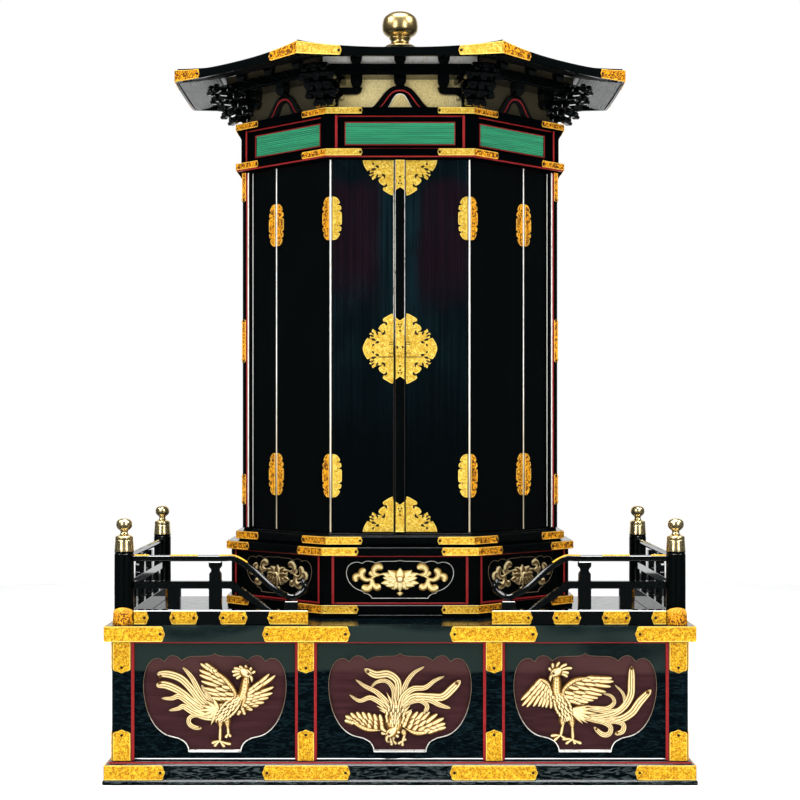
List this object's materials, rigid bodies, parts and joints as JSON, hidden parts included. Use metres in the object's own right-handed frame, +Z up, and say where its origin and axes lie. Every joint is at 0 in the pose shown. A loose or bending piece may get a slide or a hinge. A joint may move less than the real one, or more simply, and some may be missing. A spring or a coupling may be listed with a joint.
{
  "type": "portable shrine",
  "caption": "Black-lacquered half-octagon cabinet shrine with folding doors, gilt fittings and a bracketed roof, on a railed platform with gilded phoenix panels.",
  "frame": {"origin": "middle of the platform's flat underside", "axes": "+Z up, the doors face -Y, +X is the right of a viewer who faces the doors"},
  "size_m": [0.876, 0.475, 1.2],
  "materials": {
    "black_lacquer": "polished black lacquer on wood",
    "panel_lacquer": "satin maroon-brown lacquer on wood",
    "vermilion_lacquer": "vermilion lacquered chamfers",
    "green_slats": "green painted fine slats",
    "gold_leaf": "gold leaf on carved wood",
    "gilt_fitting": "gilt, ring-punched and engraved sheet metal",
    "brass": "polished pale brass"
  },
  "bodies": {
    "shrine": {"bracket_tier": "black_lacquer", "cabinet_back": "black_lacquer", "cabinet_side_left": "black_lacquer", "cabinet_side_right": "black_lacquer", "door_jamb_left": "black_lacquer", "door_jamb_right": "black_lacquer", "frieze_drum": "black_lacquer", "frieze_lower_band": "black_lacquer", "frieze_upper_band": "black_lacquer", "hinge_side_left_lower": "gilt_fitting", "hinge_side_left_upper": "gilt_fitting", "hinge_side_right_lower": "gilt_fitting", "hinge_side_right_upper": "gilt_fitting", "jewel": "brass", "phoenix_left": "gold_leaf", "phoenix_middle": "gold_leaf", "phoenix_right": "gold_leaf", "platform_back": "black_lacquer", "platform_bottom_board": "black_lacquer", "platform_mid_post_left": "black_lacquer", "platform_mid_post_right": "black_lacquer", "platform_panel_left": "panel_lacquer", "platform_panel_middle": "panel_lacquer", "platform_panel_right": "panel_lacquer", "platform_post_back_left": "black_lacquer", "platform_post_back_right": "black_lacquer", "platform_post_front_left": "black_lacquer", "platform_post_front_right": "black_lacquer", "platform_side_left": "black_lacquer", "platform_side_right": "black_lacquer", "platform_top_board": "black_lacquer", "railing_cap_back_left": "brass", "railing_cap_back_right": "brass", "railing_cap_front_left": "brass", "railing_cap_front_right": "brass", "railing_front_left": "black_lacquer", "railing_front_right": "black_lacquer", "railing_post_back_left": "black_lacquer", "railing_post_back_right": "black_lacquer", "railing_post_front_left": "black_lacquer", "railing_post_front_right": "black_lacquer", "railing_side_left": "black_lacquer", "railing_side_right": "black_lacquer", "roof": "black_lacquer", "top_rail_front_left": "black_lacquer", "top_rail_front_right": "black_lacquer", "top_rail_side_left": "black_lacquer", "top_rail_side_right": "black_lacquer", "waist_block": "black_lacquer", "waist_cornice": "black_lacquer", "waist_foot": "black_lacquer"},
    "right_front_door": {"centre_stile": "black_lacquer", "front_door_right": "black_lacquer"},
    "left_front_door": {"front_door_left": "black_lacquer"},
    "left_side_door": {"hinge_front_left_lower": "gilt_fitting", "hinge_front_left_upper": "gilt_fitting", "side_door_left": "black_lacquer"},
    "right_side_door": {"hinge_front_right_lower": "gilt_fitting", "hinge_front_right_upper": "gilt_fitting", "side_door_right": "black_lacquer"}
  },
  "joints": [
    {"name": "left_side_door_hinge", "type": "hinge", "parent": "shrine", "child": "left_side_door", "pos_m": [-0.1979, 0.0022, 0.652], "axis": [0, 0, -1], "range_deg": [0, 110]},
    {"name": "left_front_door_hinge", "type": "hinge", "parent": "left_side_door", "child": "left_front_door", "pos_m": [-0.1077, -0.088, 0.652], "axis": [0, 0, -1], "range_deg": [0, 160]},
    {"name": "right_side_door_hinge", "type": "hinge", "parent": "shrine", "child": "right_side_door", "pos_m": [0.1979, 0.0022, 0.652], "axis": [0, 0, 1], "range_deg": [0, 110]},
    {"name": "right_front_door_hinge", "type": "hinge", "parent": "right_side_door", "child": "right_front_door", "pos_m": [0.1077, -0.088, 0.652], "axis": [0, 0, 1], "range_deg": [0, 160]}
  ]
}
